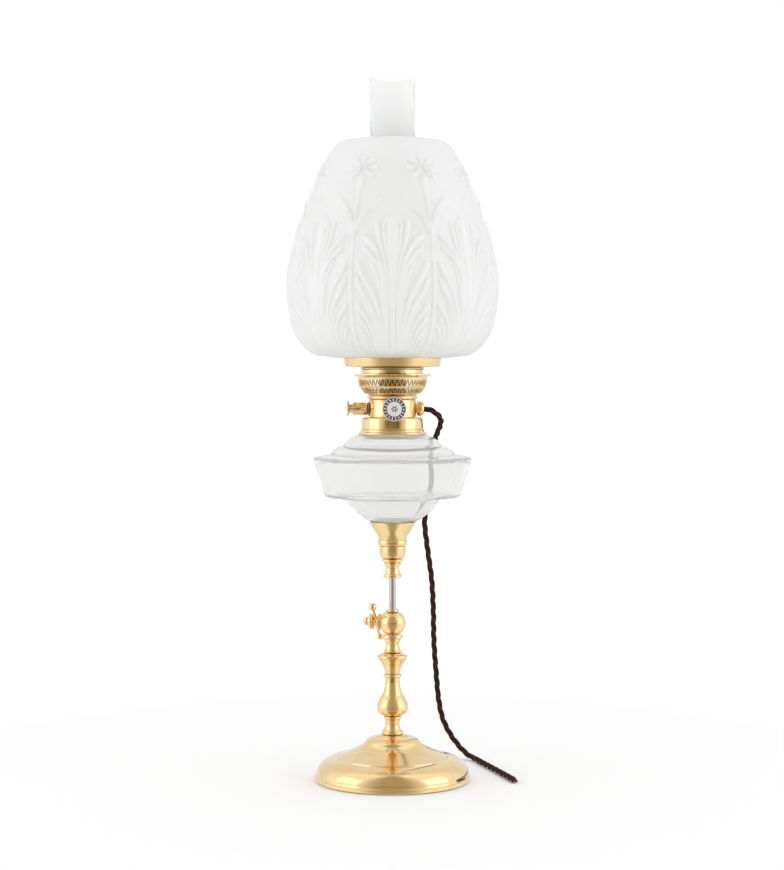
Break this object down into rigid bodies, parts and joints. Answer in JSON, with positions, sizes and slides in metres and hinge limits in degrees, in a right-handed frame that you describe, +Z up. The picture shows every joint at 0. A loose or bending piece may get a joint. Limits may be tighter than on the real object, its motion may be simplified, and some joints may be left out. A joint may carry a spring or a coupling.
{
  "type": "table lamp",
  "caption": "Height-adjustable turned brass table lamp in oil-lamp form: clear glass font, pierced burner, chimney and opal leaf-moulded shade.",
  "frame": {"origin": "on the table under the middle of the round foot", "axes": "+Z up along the column; the round knob faces -Y, the push switch points to -X and the flex leaves on +X"},
  "size_m": [0.2112, 0.1973, 0.65],
  "materials": {
    "polished_brass": "polished, lacquered, slightly grainy",
    "bright_steel": "polished",
    "nickel": "satin nickel plate",
    "cast_iron": "as cast",
    "green_felt": "pressed felt",
    "clear_glass": "clear, polished",
    "opal_glass": "white, satin etched",
    "black_plastic": "moulded",
    "white_ceramic": "glazed porcelain",
    "plaster": "set plaster",
    "brown_braid": "woven textile"
  },
  "bodies": {
    "stand": {"foot_shell": "polished_brass", "foot_weight": "cast_iron", "foot_felt": "green_felt", "foot_washer": "bright_steel", "foot_nut": "bright_steel", "tie_tube": "bright_steel", "column_foot": "polished_brass", "column_baluster": "polished_brass", "column_ring": "polished_brass", "column_flare": "polished_brass", "column_neck": "polished_brass", "clamp_ball": "polished_brass", "rod_gland": "polished_brass", "clamp_pad": "polished_brass"},
    "collet": {"clamp_collet": "polished_brass"},
    "upper": {"lift_rod": "bright_steel", "rod_socket": "polished_brass", "socket_cup": "polished_brass", "font_cup": "polished_brass", "font_cement": "plaster", "font": "clear_glass", "font_collar": "polished_brass", "burner_cap": "polished_brass", "burner_drum": "polished_brass", "basket_seat": "polished_brass", "basket": "polished_brass", "chimney_gallery": "polished_brass", "shade_carrier": "polished_brass", "holder_nipple": "bright_steel", "holder_nut": "bright_steel", "holder_sleeve": "polished_brass", "holder_core": "white_ceramic", "bulb_cap": "nickel", "bulb_glass": "opal_glass", "lead_live": "brown_braid", "lead_neutral": "brown_braid", "switch_barrel": "polished_brass", "switch_washer": "black_plastic", "switch_case": "black_plastic", "knob_bush": "polished_brass", "flex_gland": "polished_brass", "flex": "brown_braid"},
    "clamp_key": {"clamp_screw": "polished_brass", "clamp_bar": "polished_brass", "clamp_bar_ball_upper": "polished_brass", "clamp_bar_ball_lower": "polished_brass"},
    "switch_button": {"switch_plunger": "polished_brass"},
    "knob": {"knob_spindle": "bright_steel", "knob_disc": "nickel"},
    "shade": {"shade": "opal_glass"},
    "chimney": {"chimney": "clear_glass"}
  },
  "joints": [
    {"name": "stand_swivel", "type": "hinge", "parent": "stand", "child": "collet", "pos_m": [0, 0, 0.1452], "axis": [0, 0, 1], "range_deg": [-90, 90]},
    {"name": "height_slide", "type": "slide", "parent": "collet", "child": "upper", "axis": [0, 0, 1], "range_m": [-0.028, 0.075]},
    {"name": "clamp_screw_turn", "type": "hinge", "parent": "stand", "child": "clamp_key", "pos_m": [0, 0, 0.146], "axis": [-0.9659, 0.2588, 0], "range_deg": [0, 330]},
    {"name": "switch_press", "type": "slide", "parent": "upper", "child": "switch_button", "axis": [1, 0, 0], "range_m": [0, 0.0026], "stiffness_N_per_m": 400, "springref_m": -0.002},
    {"name": "knob_turn", "type": "hinge", "parent": "upper", "child": "knob", "pos_m": [0, 0, 0.3436], "axis": [0.0523, -0.9986, 0], "continuous": true},
    {"name": "shade_lift", "type": "slide", "parent": "upper", "child": "shade", "axis": [0, 0, 1], "range_m": [0, 0.28]},
    {"name": "chimney_lift", "type": "slide", "parent": "upper", "child": "chimney", "axis": [0, 0, 1], "range_m": [0, 0.28]}
  ]
}
